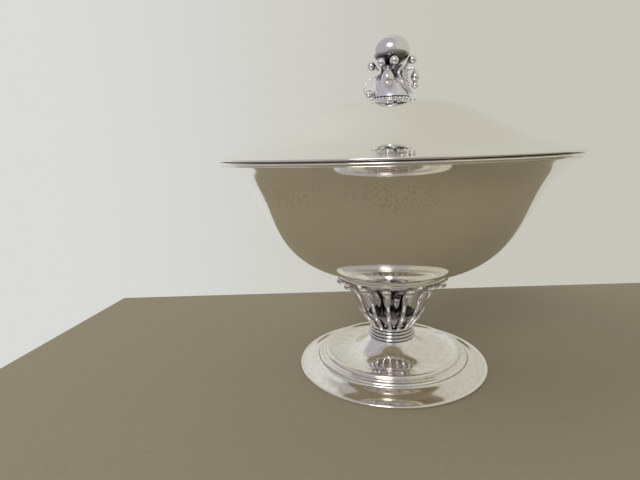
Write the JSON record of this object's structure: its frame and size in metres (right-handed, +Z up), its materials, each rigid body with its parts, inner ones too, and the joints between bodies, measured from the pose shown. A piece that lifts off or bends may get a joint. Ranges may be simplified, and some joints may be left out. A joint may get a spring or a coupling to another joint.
{
  "type": "covered sugar bowl",
  "caption": "Polished silver footed sugar bowl with a flared rim, a berry-stalk stem, a stepped foot and a loose domed lid with a fruit finial.",
  "frame": {"origin": "centre of the foot, on the surface the bowl stands on", "axes": "+Z up along the bowl's turning axis; -Y is the front that the views show; +X to the right seen from the front"},
  "size_m": [0.145, 0.145, 0.1412],
  "materials": {
    "polished_silver": "hand-polished silver with a faint hammered surface",
    "cast_silver": "cast and chased silver, polished on the high points",
    "oxidised_silver": "silver darkened in the recesses"
  },
  "bodies": {
    "bowl": {"foot_shell": "polished_silver", "foot_rim_wire": "polished_silver", "neck_ring": "cast_silver", "calyx_cup": "oxidised_silver", "stem_core": "oxidised_silver", "stalk_01": "cast_silver", "stalk_02": "cast_silver", "stalk_03": "cast_silver", "stalk_04": "cast_silver", "stalk_05": "cast_silver", "stalk_06": "cast_silver", "stalk_07": "cast_silver", "stalk_08": "cast_silver", "stalk_09": "cast_silver", "stalk_10": "cast_silver", "stalk_11": "cast_silver", "stalk_12": "cast_silver", "stalk_13": "cast_silver", "stalk_14": "cast_silver", "stalk_15": "cast_silver", "bowl_seat": "polished_silver", "bowl_shell": "polished_silver", "bowl_rim_wire": "polished_silver"},
    "lid": {"lid_shell": "polished_silver", "lid_bezel": "polished_silver", "finial_base_ring": "cast_silver", "finial_pedestal": "polished_silver", "finial_fruit": "polished_silver", "finial_berry_1": "cast_silver", "finial_berry_2": "cast_silver", "finial_berry_3": "cast_silver", "finial_berry_4": "cast_silver", "finial_berry_5": "cast_silver", "finial_berry_6": "cast_silver", "finial_pod_1": "cast_silver", "finial_pod_2": "cast_silver", "finial_pod_3": "cast_silver", "finial_leaf_1": "oxidised_silver", "finial_tendril_1": "cast_silver", "finial_leaf_2": "oxidised_silver", "finial_tendril_2": "cast_silver", "finial_wire_loop": "cast_silver", "finial_stud": "cast_silver", "finial_nut": "cast_silver"}
  },
  "joints": [
    {"name": "lid_lift", "type": "slide", "parent": "bowl", "child": "lid", "axis": [0, 0, 1], "range_m": [0, 0.07]}
  ]
}
